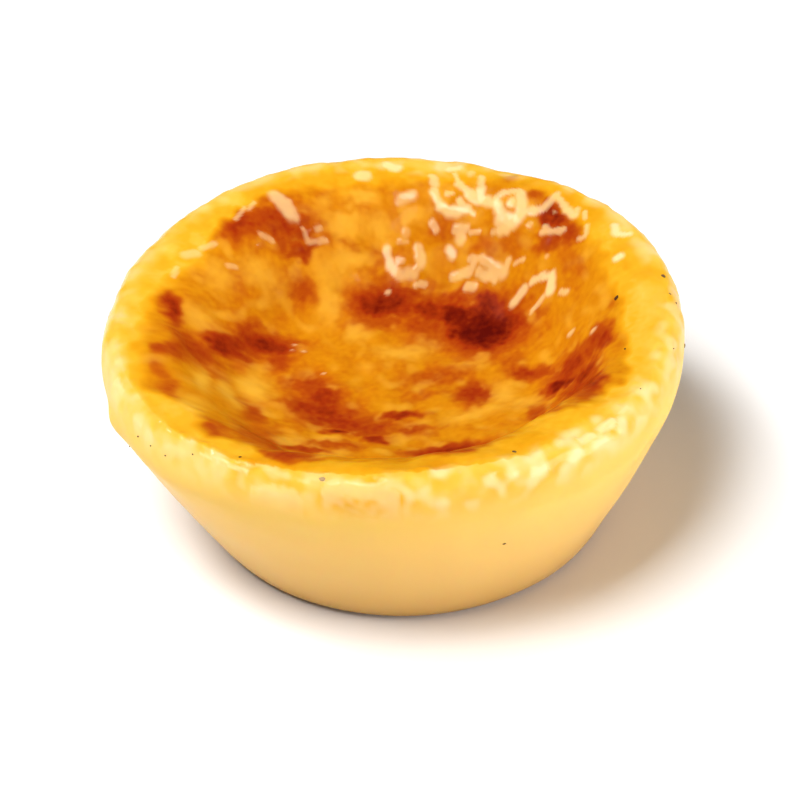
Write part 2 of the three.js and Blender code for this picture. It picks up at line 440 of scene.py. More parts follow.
def folds(spot, bearing, spacing_mm):
    """Folds that run along a bearing in plan, inside a spot."""
    across = (place[:, 1] * math.cos(bearing) - place[:, 0] * math.sin(bearing)) / MM
    return near(spot) * np.sin(2 * math.pi * across / spacing_mm + bumps(FOLD_SWAY))

relief = bumps(LUMP) * (LIP_LUMP_SHARE * lip_share + calm * top_share)
relief += bumps(BUBBLE) * calm * top_share
relief += bumps(GRAIN) * calm * top_share
relief += bumps(LIP_BUBBLE) * lip_share
relief += bumps(LIP_GRAIN) * lip_share
relief += seam_relief
relief += bumps(WALL_RIPPLE) * wall_share
relief += bumps(WALL_DRAG, DRAG_STRETCH) * wall_share
relief += FOLD_HEIGHT * folds(FOLDED, FOLD_BEARING, FOLD_SPACING) * top_share
relief *= np.where(np.arange(len(place)) < base_start, 1, 0) * soft_step(place[:, 2], *FOOT_FADE)

normals = np.zeros(len(place) * 3)
skin_mesh.vertex_normals.foreach_get("vector", normals)
normals = normals.reshape(-1, 3)
place_lumpy = place + normals * relief[:, None] * MM
print("relief, mm: from", round(relief.min(), 2), "to", round(relief.max(), 2))

# %% [markdown]
# Bubbles have burst at the back, and the net of wet skin they left catches the light in pale glints. Those
# glints are painted: each strip is a short stroke in plan, in millimetres, most of them at the back and
# along the lip. The skin rises a little there, and later it gets the stroke's paleness, a painted
# highlight, and more gloss than the skin around it. Left to the gloss alone, the glints would show from
# one side only.

# %% Painted glints: pale strips on the wet skin
Strip = namedtuple("Strip", "x y to_x to_y half_wide paleness")
STRIPS = [
    Strip(-0.4, 23.2, 0.1, 21.8, 0.45, 0.45),
    Strip(0.2, 21.5, 1.3, 20.6, 0.55, 0.45),
    Strip(1.3, 20.5, 3.1, 20.5, 0.55, 0.45),
    Strip(3.1, 20.6, 3.8, 21.2, 0.35, 0.40),
    Strip(3.9, 22.9, 4.1, 21.6, 0.55, 0.50),
    Strip(1.0, 22.1, 1.7, 21.9, 0.30, 0.35),
    Strip(3.4, 19.4, 4.6, 19.4, 0.28, 0.45),
    Strip(2.2, 24.6, 2.2, 24.6, 0.50, 0.25),
    Strip(1.2, 23.8, 2.4, 23.7, 0.22, 0.25),
    Strip(1.8, 28.1, 3.4, 28.4, 0.55, 0.45),
    Strip(0.1, 33.6, 1.4, 33.0, 0.60, 0.90),
    Strip(8.2, 19.6, 10.5, 19.3, 0.42, 0.50),
    Strip(10.6, 19.3, 11.2, 19.9, 0.40, 0.50),
    Strip(10.6, 20.4, 12.2, 19.7, 0.35, 0.45),
    Strip(12.2, 19.6, 13.5, 18.5, 0.40, 0.50),
    Strip(13.4, 18.1, 14.8, 17.5, 0.65, 0.50),
    Strip(15.5, 18.3, 15.0, 17.3, 0.35, 0.45),
    Strip(11.6, 18.7, 13.7, 17.2, 0.42, 0.50),
    Strip(10.0, 17.8, 10.9, 17.4, 0.45, 0.50),
    Strip(7.8, 22.4, 8.4, 21.7, 0.45, 0.50),
    Strip(8.9, 24.2, 10.3, 23.9, 0.45, 0.50),
    Strip(9.5, 23.9, 9.5, 23.0, 0.60, 0.50),
    Strip(10.9, 23.3, 12.0, 22.9, 0.25, 0.45),
    Strip(13.7, 22.1, 14.3, 21.9, 0.30, 0.40),
    Strip(14.6, 22.0, 15.6, 21.7, 0.50, 0.55),
    Strip(5.8, 25.3, 6.3, 24.7, 0.35, 0.45),
    Strip(6.2, 28.7, 6.9, 27.0, 0.45, 0.65),
    Strip(6.9, 27.0, 8.2, 26.0, 0.45, 0.70),
    Strip(8.2, 26.0, 10.5, 25.8, 0.55, 0.70),
    Strip(9.6, 27.0, 9.8, 26.2, 0.40, 0.65),
    Strip(10.5, 25.7, 11.3, 25.1, 0.30, 0.60),
    Strip(7.9, 28.2, 8.7, 28.2, 0.25, 0.50),
    Strip(6.1, 31.0, 6.4, 29.6, 0.50, 0.60),
    Strip(8.4, 32.3, 9.7, 32.3, 0.50, 0.90),
    Strip(9.2, 31.2, 9.5, 29.5, 0.28, 0.60),
    Strip(9.5, 29.4, 10.9, 27.7, 0.40, 0.65),
    Strip(10.9, 27.6, 12.4, 26.4, 0.60, 0.70),
    Strip(12.6, 29.8, 12.5, 27.8, 0.40, 0.60),
    Strip(12.4, 27.8, 12.2, 26.9, 0.60, 0.70),
    Strip(12.4, 26.4, 14.4, 25.2, 0.60, 0.70),
    Strip(11.2, 30.8, 11.2, 30.8, 0.50, 0.45),
    Strip(14.4, 25.1, 14.9, 23.8, 0.60, 0.70),
    Strip(14.0, 25.8, 15.5, 26.4, 0.40, 0.60),
    Strip(15.5, 26.4, 17.6, 26.1, 0.35, 0.60),
    Strip(16.4, 24.7, 16.4, 24.7, 0.55, 0.65),
    Strip(14.9, 23.2, 16.4, 22.2, 0.75, 0.70),
    Strip(16.4, 22.2, 17.3, 22.7, 0.70, 0.70),
    Strip(17.7, 25.4, 17.7, 23.2, 0.65, 0.70),
    Strip(17.7, 23.1, 19.4, 22.9, 0.50, 0.70),
    Strip(19.4, 22.9, 20.7, 23.0, 0.40, 0.60),
    Strip(18.6, 21.2, 18.6, 21.2, 0.35, 0.40),
    Strip(20.8, 23.2, 22.3, 24.5, 0.45, 0.60),
    Strip(22.5, 23.9, 23.6, 21.5, 0.40, 0.60),
    Strip(23.6, 21.4, 24.4, 19.9, 0.55, 0.65),
    Strip(24.5, 19.9, 24.9, 20.9, 0.40, 0.55),
    Strip(20.2, 19.4, 21.0, 19.1, 0.40, 0.50),
    Strip(20.6, 20.1, 20.8, 19.3, 0.35, 0.50),
    Strip(21.0, 19.0, 22.7, 18.2, 0.40, 0.50),
    Strip(21.9, 21.9, 21.9, 21.9, 0.25, 0.35),
    Strip(25.8, 19.9, 25.7, 18.7, 0.28, 0.55),
    Strip(25.8, 17.2, 25.6, 15.7, 0.24, 0.50),
    Strip(24.6, 15.6, 25.4, 15.4, 0.25, 0.45),
    Strip(29.4, 15.8, 29.4, 14.2, 0.50, 1.00),
    Strip(29.4, 14.0, 31.0, 13.6, 0.40, 1.00),
    Strip(29.2, 9.5, 29.6, 9.7, 0.50, 1.00),
    Strip(18.5, 14.2, 19.9, 13.6, 0.38, 0.70),
    Strip(20.0, 13.4, 20.7, 12.8, 0.38, 0.80),
    Strip(20.9, 12.7, 20.7, 11.3, 0.52, 0.85),
    Strip(22.0, 10.2, 22.7, 9.5, 0.30, 0.50),
    Strip(16.0, 13.4, 17.4, 14.0, 0.50, 0.65),
    Strip(18.4, 10.8, 19.8, 11.2, 0.30, 0.55),
    Strip(16.5, 17.7, 17.6, 17.5, 0.25, 0.40),
    Strip(20.4, 15.7, 20.4, 15.7, 0.30, 0.35),
    Strip(-14.9, 27.0, -13.0, 25.0, 0.75, 0.55),
    Strip(-13.2, 26.2, -12.3, 24.8, 0.50, 0.50),
    Strip(-11.3, 23.9, -10.6, 22.9, 0.24, 0.40),
    Strip(-10.8, 22.9, -8.3, 23.6, 0.24, 0.40),
    Strip(-9.6, 24.3, -9.0, 24.6, 0.25, 0.35),
    Strip(-20.0, 22.8, -18.9, 24.8, 0.25, 0.40),
    Strip(-18.4, 24.4, -17.6, 25.6, 0.25, 0.40),
    Strip(-16.9, 21.6, -15.5, 21.6, 0.25, 0.35),
    Strip(-26.6, 15.4, -25.2, 16.2, 0.50, 0.40),
    Strip(-24.6, 17.2, -22.8, 18.8, 0.30, 0.40),
    Strip(-21.2, 16.2, -20.2, 16.6, 0.30, 0.30),
    Strip(-28.0, 11.4, -27.6, 13.0, 0.30, 0.35),
    Strip(-3.6, 31.5, -2.8, 31.5, 0.65, 0.70),
    Strip(22.9, 3.2, 22.9, 3.2, 0.35, 0.50),
    Strip(25.6, -0.2, 25.6, -0.2, 0.35, 0.50),
    Strip(-11.7, 8.0, -11.7, 8.0, 0.25, 0.45),
    Strip(-12.8, 9.4, -12.8, 9.4, 0.20, 0.40),
    Strip(-13.2, 8.2, -13.2, 8.2, 0.20, 0.35),
    Strip(-9.2, 4.1, -9.2, 4.1, 0.20, 0.40),
    Strip(-0.4, 18.6, -0.4, 18.6, 0.30, 0.50),
    Strip(-17.6, -32.5, -11.8, -35.1, 0.36, 0.55),
    Strip(-23.6, -26.5, -18.0, -30.8, 0.20, 0.70),
    Strip(-8.6, -35.3, -0.4, -36.7, 0.45, 0.55),
    Strip(24.6, -25.2, 26.2, -23.6, 0.42, 0.90),
    Strip(22.0, -27.6, 23.6, -26.3, 0.40, 0.85),
    Strip(27.4, -21.8, 28.2, -20.6, 0.30, 0.70),
    Strip(-34.6, -10.3, -33.6, -12.6, 0.30, 0.80),
    Strip(-31.8, -17.6, -31.2, -18.4, 0.25, 0.70),
]
print("strips:", len(STRIPS))

# %% [markdown]
# How much of a strip is at a point? The nearest place on the stroke is found first, and then how many half
# widths away it is. Noise sways the stroke a little, because no bubble bursts along a ruler.

# %% Strips on the skin
STRIP_RISE = 0.08
STRIP_EDGE = (1.70, 0.60)
STRIP_FRAY = Bumps(0.9, 0.18, 25)
SHORTEST_RUN_SQUARED = 1e-6
strip_sway = bumps(STRIP_FRAY)

def strip_share(strip):
    """1 along the middle of a strip, 0 outside it, with a slightly uneven edge."""
    x = place[:, 0] / MM + strip_sway
    y = place[:, 1] / MM + strip_sway
    run_x = strip.to_x - strip.x
    run_y = strip.to_y - strip.y
    run_squared = max(run_x ** 2 + run_y ** 2, SHORTEST_RUN_SQUARED)
    along = np.clip(((x - strip.x) * run_x + (y - strip.y) * run_y) / run_squared, 0, 1)
    away = np.hypot(x - strip.x - along * run_x, y - strip.y - along * run_y)
    return soft_step(away / strip.half_wide, *STRIP_EDGE)

# The paleness of the strips is a painted highlight, standing in for glints on the wet skin.
painted_glint_paleness = np.zeros(len(place))
strip_cover = np.zeros(len(place))
for strip in STRIPS:
    share = strip_share(strip) * (1 - wall_share)
    painted_glint_paleness = np.maximum(painted_glint_paleness, strip.paleness * share)
    strip_cover = np.maximum(strip_cover, share)
place_lumpy += normals * (STRIP_RISE * MM * strip_cover)[:, None]
skin_mesh.vertices.foreach_set("co", place_lumpy.ravel())
skin_mesh.update()
print("points on strips:", int((strip_cover > 0.5).sum()))

# %% [markdown]
# The oven browns the top where the skin is thin or stands proud: amber first, then brown, and nearly
# mahogany in a few spots. Painting a picture would be one way. Here each patch is an oval in plan, in
# millimetres, with a depth of browning. Pale spots are the reverse: places where the milk shows through.

# %% Brown patches and pale spots
Patch = namedtuple("Patch", "x y half_long half_wide turn depth")
BROWN_PATCHES = [
    Patch(-0.8, 17.1, 4.6, 2.5, 0, 0.87),
    Patch(5.0, 15.9, 3.6, 2.2, -15, 0.82),
    Patch(8.3, 14.3, 2.8, 2.2, -20, 0.95),
    Patch(11.7, 11.0, 5.0, 4.0, -20, 1.00),
    Patch(12.5, 14.2, 3.2, 1.5, -10, 0.88),
    Patch(16.4, 11.0, 1.5, 1.8, 0, 0.78),
    Patch(9.8, 7.6, 4.0, 1.2, -25, 0.60),
    Patch(19.5, 9.5, 1.4, 0.8, 0, 0.58),
    Patch(4.6, 12.8, 5.0, 2.0, -12, 0.68),
    Patch(-1.4, 13.8, 4.0, 1.2, 0, 0.64),
    Patch(14.0, 20.6, 4.0, 0.9, -15, 0.56),
    Patch(20.8, 17.8, 2.2, 1.3, -20, 0.72),
    Patch(16.6, 19.4, 1.8, 1.2, -30, 0.50),
    Patch(8.0, 16.4, 1.8, 1.0, -10, 0.70),
    Patch(7.4, 24.2, 2.6, 1.2, 0, 0.54),
    Patch(1.4, 19.1, 3.4, 1.2, 0, 0.76),
    Patch(7.4, 17.3, 2.4, 1.0, -10, 0.70),
    Patch(6.0, 10.4, 5.5, 1.9, -20, 0.59),
    Patch(4.0, -0.6, 3.0, 1.0, 0, 0.55),
    Patch(22.0, 21.5, 1.5, 3.2, 10, 0.84),
    Patch(23.7, 17.6, 1.4, 2.2, 15, 0.72),
    Patch(20.5, 25.0, 1.3, 1.1, 0, 0.72),
    Patch(23.6, 12.6, 1.2, 2.6, 10, 0.53),
    Patch(16.4, 29.2, 1.0, 1.1, 0, 0.62),
    Patch(-8.4, 28.7, 1.2, 0.9, 0, 0.55),
    Patch(-5.2, 29.3, 2.0, 0.7, 0, 0.46),
    Patch(-6.8, 27.1, 2.0, 0.6, 0, 0.44),
    Patch(-5.4, 23.8, 1.8, 0.7, 0, 0.49),
    Patch(-2.2, 26.8, 1.5, 0.6, -10, 0.44),
    Patch(0.7, 27.3, 0.8, 1.5, 0, 0.47),
    Patch(4.4, 29.4, 1.2, 0.8, 0, 0.45),
    Patch(-1.7, 22.3, 0.8, 1.0, 0, 0.53),
    Patch(-0.4, 20.2, 2.2, 0.8, 0, 0.62),
    Patch(-15.0, 23.4, 5.6, 1.7, 12, 0.72),
    Patch(-11.8, 22.0, 2.2, 0.8, 15, 0.74),
    Patch(-20.0, 22.2, 3.0, 1.9, 10, 0.78),
    Patch(-22.4, 21.0, 2.0, 1.4, 30, 0.60),
    Patch(-14.5, 26.0, 3.6, 1.2, 5, 0.56),
    Patch(-10.4, 25.4, 1.8, 1.0, 0, 0.56),
    Patch(-12.2, 17.9, 1.7, 2.0, 5, 0.63),
    Patch(-19.5, 14.6, 1.5, 2.4, 0, 0.49),
    Patch(-16.6, 8.5, 3.9, 2.2, 8, 0.86),
    Patch(-14.8, 6.2, 2.0, 2.0, 0, 0.70),
    Patch(-21.0, 5.5, 3.6, 1.9, 42, 0.78),
    Patch(-22.2, 3.9, 2.2, 1.1, 45, 0.86),
    Patch(-25.0, 0.8, 2.4, 2.4, 40, 0.70),
    Patch(-27.0, -2.2, 2.6, 1.4, 60, 0.71),
    Patch(-28.0, 6.0, 1.1, 3.0, 10, 0.82),
    Patch(-28.4, -3.6, 1.8, 1.1, 20, 0.71),
    Patch(-29.0, -8.6, 1.0, 2.4, 0, 0.58),
    Patch(-28.0, -12.6, 1.4, 2.6, 0, 0.62),
    Patch(-11.0, 1.4, 3.0, 2.6, -10, 0.70),
    Patch(-9.6, -0.6, 2.6, 1.6, -10, 0.80),
    Patch(-10.0, -3.0, 4.0, 2.4, -20, 0.78),
    Patch(-7.4, -5.2, 5.0, 2.6, -15, 0.76),
    Patch(-7.6, -8.0, 1.8, 0.9, 0, 0.88),
    Patch(-3.2, -7.4, 3.6, 2.2, 0, 0.72),
    Patch(-2.3, -9.9, 2.0, 1.1, 0, 0.86),
    Patch(0.4, -4.8, 2.6, 0.9, 5, 0.84),
    Patch(2.4, -8.2, 2.2, 1.1, 0, 0.66),
    Patch(9.9, -1.4, 2.1, 2.0, 0, 0.77),
    Patch(5.8, 3.0, 4.0, 1.6, 5, 0.60),
    Patch(15.4, 3.6, 1.6, 1.2, -20, 0.58),
    Patch(17.4, 0.6, 3.0, 1.1, -30, 0.74),
    Patch(21.0, -4.8, 2.4, 1.2, 0, 0.90),
    Patch(22.6, -2.6, 2.6, 2.4, 0, 0.78),
    Patch(24.0, -6.6, 1.6, 2.2, 0, 0.84),
    Patch(22.6, -10.0, 2.0, 4.4, 0, 0.76),
    Patch(24.6, -12.6, 1.2, 4.4, 0, 0.84),
    Patch(25.4, -2.0, 1.5, 2.0, 0, 0.74),
    Patch(26.6, -3.0, 1.4, 2.2, 0, 0.78),
    Patch(23.6, -16.0, 2.6, 2.6, 0, 0.68),
    Patch(26.8, -16.6, 1.8, 1.0, 45, 0.62),
    Patch(28.4, 1.7, 0.9, 1.4, 0, 0.56),
    Patch(18.8, -19.0, 0.9, 2.4, 0, 0.62),
    Patch(18.4, -9.0, 1.4, 2.2, 10, 0.66),
    Patch(6.6, -13.6, 4.8, 1.2, 0, 0.84),
    Patch(-8.4, -12.0, 4.0, 1.2, 0, 0.64),
    Patch(7.0, -29.2, 3.8, 2.0, 5, 0.75),
    Patch(9.4, -31.0, 1.4, 1.0, 0, 0.66),
    Patch(-13.4, -29.4, 4.0, 2.4, -14, 0.76),
    Patch(-11.6, -13.8, 3.2, 1.1, -5, 0.72),
    Patch(-16.6, -17.0, 2.8, 6.4, 0, 0.66),
    Patch(-14.6, -21.0, 1.2, 4.6, 0, 0.72),
    Patch(-23.2, -21.6, 3.0, 1.6, -25, 0.68),
    Patch(-18.2, -7.0, 1.6, 3.2, 0, 0.64),
    Patch(-14.6, -32.2, 2.2, 1.2, -20, 0.48),
    Patch(-21.6, -19.8, 2.4, 1.6, -30, 0.58),
    Patch(-22.6, -1.4, 1.6, 1.2, 30, 0.56),
    Patch(-4.0, -19.0, 3.4, 1.6, 10, 0.64),
    Patch(4.4, -22.4, 2.8, 1.5, -8, 0.70),
    Patch(11.4, -18.0, 2.2, 2.2, 20, 0.62),
    Patch(-6.6, -24.0, 2.2, 1.3, 0, 0.60),
    Patch(13.0, -22.6, 1.6, 1.2, 0, 0.74),
]
PALE_SPOTS = [
    Patch(-18.0, 0.0, 1.8, 3.0, 0, 1.0),
    Patch(-24.2, -5.8, 1.0, 2.8, 0, 0.95),
    Patch(-21.2, -5.0, 1.1, 2.8, 0, 0.95),
    Patch(-8.6, 17.0, 1.4, 3.2, 0, 0.8),
    Patch(-17.2, 17.4, 2.6, 1.4, 20, 0.7),
    Patch(-24.6, 6.6, 2.0, 1.7, 20, 0.8),
    Patch(-25.2, -16.2, 1.4, 2.8, 0, 0.95),
    Patch(1.4, 8.5, 3.2, 1.3, 0, 0.8),
    Patch(-4.5, 12.4, 1.3, 1.6, 0, 0.8),
    Patch(-6.2, 25.5, 2.6, 1.1, 0, 0.95),
    Patch(-5.2, 22.1, 2.6, 1.0, 0, 0.9),
    Patch(-3.4, 28.1, 1.8, 0.9, 0, 0.9),
    Patch(-1.0, 25.4, 1.8, 1.2, 0, 0.8),
    Patch(3.4, 26.4, 1.8, 1.0, 0, 0.7),
    Patch(-8.0, 20.6, 2.6, 1.6, 0, 0.6),
    Patch(10.0, -6.0, 4.0, 1.3, 5, 0.7),
    Patch(13.6, -2.6, 1.9, 2.4, 0, 0.8),
    Patch(16.2, -6.0, 2.0, 1.4, 0, 0.7),
    Patch(9.8, 4.6, 2.0, 1.0, 0, 0.5),
    Patch(-22.6, 14.2, 2.4, 1.6, 30, 0.6),
    Patch(-14.2, -12.2, 2.0, 1.3, 20, 0.95),
    Patch(-9.0, -10.6, 1.8, 1.0, 0, 0.7),
]
print("brown patches:", len(BROWN_PATCHES), "and pale spots:", len(PALE_SPOTS))

# %% [markdown]
# Ovals would look like ovals, so noise of three sizes bends and frays their edges. On the left front the
# inner wall is steep, and there the noise is drawn out along the slope, as the skin is where it slid down.

# %% Browning of the top
GOLDEN = 0.42
GOLDEN_DRIFT = Bumps(2.6, 0.07, 9)
BEND_X = Bumps(5.0, 0.9, 5)
BEND_Y = Bumps(5.0, 0.9, 7)
FRAY_X = Bumps(1.6, 0.8, 6)
FRAY_Y = Bumps(1.6, 0.8, 8)
FINE_FRAY_X = Bumps(0.8, 0.4, 15)
FINE_FRAY_Y = Bumps(0.8, 0.4, 16)
DRAWN_FROM = 18 * MM
DRAWN = [(0, 1.0), (150, 1.0), (180, 0.35), (235, 0.35), (262, 1.0)]
PATCH_FALL = 0.7
PATCH_POWER = 2.6
CLOUD = Bumps(2.2, 1.0, 17)
CLOUD_EDGE = (0.0, 0.7)
CLOUD_DEPTH = 0.5
CLOUD_LIGHTENS = 0.16

past_drawn = np.maximum(plan_radius - DRAWN_FROM, 0)
drawn_radius = np.minimum(plan_radius, DRAWN_FROM) + past_drawn * around(DRAWN)
drawn = place * (drawn_radius / np.maximum(plan_radius, MM))[:, None]
drawn[:, 2] = middle_floor.z + (place[:, 2] - middle_floor.z) * around(DRAWN)
plan_x = place[:, 0] / MM + bumps(BEND_X) + bumps(FRAY_X, at=drawn) + bumps(FINE_FRAY_X, at=drawn)
plan_y = place[:, 1] / MM + bumps(BEND_Y) + bumps(FRAY_Y, at=drawn) + bumps(FINE_FRAY_Y, at=drawn)

def patch_share(patch):
    """1 in the middle of a patch, one half near its edge, 0 outside."""
    return np.exp(-PATCH_FALL * oval_distance(patch, plan_x, plan_y) ** PATCH_POWER)

browning = np.full(len(place), GOLDEN) + bumps(GOLDEN_DRIFT, at=drawn)
cloud = CLOUD_DEPTH * soft_step(bumps(CLOUD, at=drawn), *CLOUD_EDGE)
for spot in PALE_SPOTS:
    cloud = np.maximum(cloud, spot.depth * patch_share(spot))
browning -= CLOUD_LIGHTENS * cloud
golden_level = browning.copy()
for patch in BROWN_PATCHES:
    browning = np.maximum(browning, golden_level + (patch.depth - golden_level) * patch_share(patch))
print("browning: mean", round(float(browning[top_share > 0.5].mean()), 2), "on the top")

# %% [markdown]
# The browning stops short of the lip, at an uneven line, and the lip itself is amber on the inside and
# pale on the crest. All that changes around the rim, so each is a short list of bearings and values: how
# far the browning reaches, in millimetres from the middle, how amber the lip is, and where its crest begins.

# %% Browned edge and amber lip
BROWN_REACH = [(0, 29.5), (30, 30.5), (45, 33.0), (60, 34.0), (75, 31.5), (105, 31.0), (118, 32.2),
               (130, 32.2), (140, 30.5), (150, 29.5), (165, 31.6), (180, 33.0), (195, 33.5), (206, 33.0),
               (215, 30.5), (224, 33.2), (235, 32.0), (246, 34.0), (256, 32.5), (275, 32.0), (286, 32.8),
               (298, 31.0), (308, 29.0), (320, 32.0), (335, 32.2), (348, 30.5)]
BROWN_FADE = (-2.4, 1.4)
EDGE_BEND = Bumps(6.0, 1.2, 10)
EDGE_FRAY = Bumps(2.0, 1.2, 18)
LIP_TINT = [(0, 0.12), (15, 0.14), (30, 0.17), (45, 0.23), (60, 0.28), (72, 0.24), (80, 0.18),
            (90, 0.18), (105, 0.22), (120, 0.21), (135, 0.13), (180, 0.11), (200, 0.13), (215, 0.13),
            (240, 0.23), (270, 0.28), (295, 0.27), (310, 0.16), (330, 0.13), (345, 0.11)]
CREST_TINT = [(0, 0.07), (30, 0.09), (45, 0.12), (60, 0.14), (72, 0.10), (85, 0.07), (105, 0.08),
              (120, 0.07), (150, 0.06), (210, 0.04), (240, 0.06), (262, 0.12), (280, 0.08),
              (300, 0.06), (330, 0.04)]
CREST_FROM = [(0, 32.6), (20, 32.2), (45, 33.2), (80, 31.0), (100, 32.0), (130, 32.4), (170, 32.6),
              (200, 33.4), (240, 34.0), (290, 33.4), (310, 32.2), (335, 32.4), (350, 32.6)]
CREST_WIDTH = 2.4
LIP_MOTTLES = [Bumps(3.2, 0.10, 19), Bumps(1.2, 0.03, 21)]
SPECKLE = Bumps(0.7, 1.0, 11)
SPECKLE_DEPTH = 0.03
SPECKLE_OF_BROWN = 0.06

past_edge = plan_radius / MM - around(BROWN_REACH) + bumps(EDGE_BEND)
past_edge += bumps(EDGE_FRAY)
inside = 1 - soft_step(past_edge, *BROWN_FADE)
inside[is_outside] = 0
browning *= inside
past_crest = soft_step(plan_radius / MM - around(CREST_FROM), 0, CREST_WIDTH)
crest_share = np.where(is_outside, 1.0, past_crest)
lip_tint = around(LIP_TINT) * (1 - crest_share) + around(CREST_TINT) * crest_share
for mottles in LIP_MOTTLES:
    lip_tint += bumps(mottles)
browning = np.maximum(browning, lip_tint)
speckle = (SPECKLE_DEPTH + SPECKLE_OF_BROWN * browning) * bumps(SPECKLE, at=drawn)
browning = np.clip(browning + speckle * top_share, 0, 1)
print("lip tint: mean", round(float(lip_tint[lip_share > 0.5].mean()), 2))

# %% [markdown]
# Two paler tones lie over the browning. Milk clouds the golden parts of the top, but not the brown ones.
# Cream shows in mottles on the crest of the lip, and there it also stands for painted highlights, most of
# all at the front right. The paleness of the glint strips joins it, and that is a painted highlight too.

# %% Milk, cream and painted highlights
MILKINESS = 0.52
MILK_FADE = (0.5, 0.66)
CREAM = Bumps(2.2, 1.0, 24)
CREAM_EDGE = (-0.15, 0.45)
CREAM_AND_HIGHLIGHT_AROUND = [(0, 0.4), (20, 0.45), (45, 0.4), (60, 0.4), (80, 0.6), (105, 0.40), (130, 0.28),
              (180, 0.36), (205, 0.60), (230, 0.55), (255, 0.35), (272, 0.85), (300, 0.85),
              (320, 0.95), (335, 0.75), (350, 0.5)]

milk = MILKINESS * cloud * inside * (1 - soft_step(browning, *MILK_FADE))
# Cream mottles on the crest, with painted highlights mixed in, strongest at the front right.
cream_and_highlight = around(CREAM_AND_HIGHLIGHT_AROUND) * soft_step(bumps(CREAM), *CREAM_EDGE) * (1 - wall_share) * crest_share
cream_and_highlight = np.maximum(cream_and_highlight, painted_glint_paleness)
print("milk and cream: up to", round(float(milk.max()), 2), "and", round(float(cream_and_highlight.max()), 2))

# %% [markdown]
# A moist film makes the custard shine, but not all over. The lip shines most, the wall little, and the
# darkest patches at the back are dry and dull. One gloss number for the whole piece would lay a grey veil
# over the browns, so the gloss is a value at each point, like the colours. They all go onto the skin as
# named layers.

# %% Gloss and the skin piece
TOP_GLOSS = 0.15
DULL = Spot(9.0, 19.0, 17.0, 11.0, -20)
LIP_GLOSS = [(0, 0.4), (20, 0.2), (40, 0.15), (60, 0.2), (90, 0.5), (200, 0.5), (222, 0.7), (236, 0.5),
             (243, 0.15), (265, 0.15), (273, 0.5), (330, 0.5)]
WALL_GLOSS = 0.12
STRIP_GLOSS = 0.30

gloss = TOP_GLOSS * top_share * (1 - near(DULL))
gloss += around(LIP_GLOSS) * lip_share
gloss += WALL_GLOSS * wall_share
gloss = np.maximum(gloss, STRIP_GLOSS * strip_cover)
layers = {
    "browning": browning,
    "milk": milk,
    "cream_and_highlight": cream_and_highlight,
    "gloss": gloss,
    "wall_share": wall_share,
    "under_share": under_share,
}
for name, values in layers.items():
    layer = skin_mesh.attributes.new(name, "FLOAT", "POINT")
    layer.data.foreach_set("value", values.astype(np.float32))
skin = bpy.data.objects.new("tartlet_skin", skin_mesh)
bpy.context.collection.objects.link(skin)
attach(skin, "root")
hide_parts("tartlet")
print("skin piece:", skin.name, "with layers", list(layers))

# %% [markdown]
# The colour of the top follows its browning through a ramp, from pale custard over amber to mahogany. A
# fine mottle shifts the place on the ramp, so that no tone is flat. Milk is then mixed in. Small helpers
# make the nodes: one reads a layer of the skin, one builds a ramp, one mixes two colours.

# %% Custard finish: the top
CRUST_COLOURS = [
    (0.00, (0.85, 0.555, 0.160)),
    (0.06, (0.84, 0.480, 0.060)),
    (0.14, (0.82, 0.395, 0.017)),
    (0.26, (0.725, 0.312, 0.006)),
    (0.42, (0.60, 0.205, 0.003)),
    (0.52, (0.515, 0.125, 0.003)),
    (0.62, (0.43, 0.072, 0.003)),
    (0.76, (0.34, 0.031, 0.003)),
    (0.90, (0.18, 0.010, 0.002)),
    (1.00, (0.10, 0.004, 0.002)),
]
MOTTLE_WIDTH = 0.8 * MM
MOTTLE_DETAIL = 4
MOTTLE = 0.10
MILK_COLOUR = (0.79, 0.43, 0.05, 1)

custard = bpy.data.materials.new("custard")
custard.use_nodes = True
nodes = custard.node_tree.nodes
links = custard.node_tree.links
shader = nodes["Principled BSDF"]

def add_node(kind, **settings):
    """A new shader node with its plain settings made."""
    node = nodes.new(kind)
    for name, value in settings.items():
        setattr(node, name, value)
    return node

def read_layer(name):
    """The value of one of the skin's layers."""
    return add_node("ShaderNodeAttribute", attribute_name=name).outputs["Fac"]

def colour_ramp(stops, position):
    """The colour at a position on a ramp with the given stops."""
    ramp = add_node("ShaderNodeValToRGB")
    elements = ramp.color_ramp.elements
    while len(elements) < len(stops):
        elements.new(0.5)
    for element, (stop, colour) in zip(elements, stops):
        element.position = stop
        element.color = (*colour, 1)
    links.new(position, ramp.inputs["Fac"])
    return ramp.outputs["Color"]

def mix_colours(share, below, above):
    """One colour over another by a share; the one above may be plain or come from a node."""
    mix = add_node("ShaderNodeMix", data_type="RGBA")
    links.new(share, mix.inputs["Factor"])
    links.new(below, mix.inputs["A"])
    if isinstance(above, tuple):
        mix.inputs["B"].default_value = above
    else:
        links.new(above, mix.inputs["B"])
    return mix.outputs["Result"]

where = add_node("ShaderNodeTexCoord").outputs["Object"]
mottle = add_node("ShaderNodeTexNoise")
mottle.inputs["Scale"].default_value = 1 / MOTTLE_WIDTH
mottle.inputs["Detail"].default_value = MOTTLE_DETAIL
links.new(where, mottle.inputs["Vector"])
mottle_share = add_node("ShaderNodeMapRange")
mottle_share.inputs["To Min"].default_value = 1 - MOTTLE
mottle_share.inputs["To Max"].default_value = 1 + MOTTLE
links.new(mottle.outputs["Fac"], mottle_share.inputs["Value"])
mottled = add_node("ShaderNodeMath", operation="MULTIPLY")
links.new(read_layer("browning"), mottled.inputs[0])
links.new(mottle_share.outputs["Result"], mottled.inputs[1])
crust = colour_ramp(CRUST_COLOURS, mottled.outputs["Value"])
top = mix_colours(read_layer("milk"), crust, MILK_COLOUR)
print("colours of the crust:", len(CRUST_COLOURS))
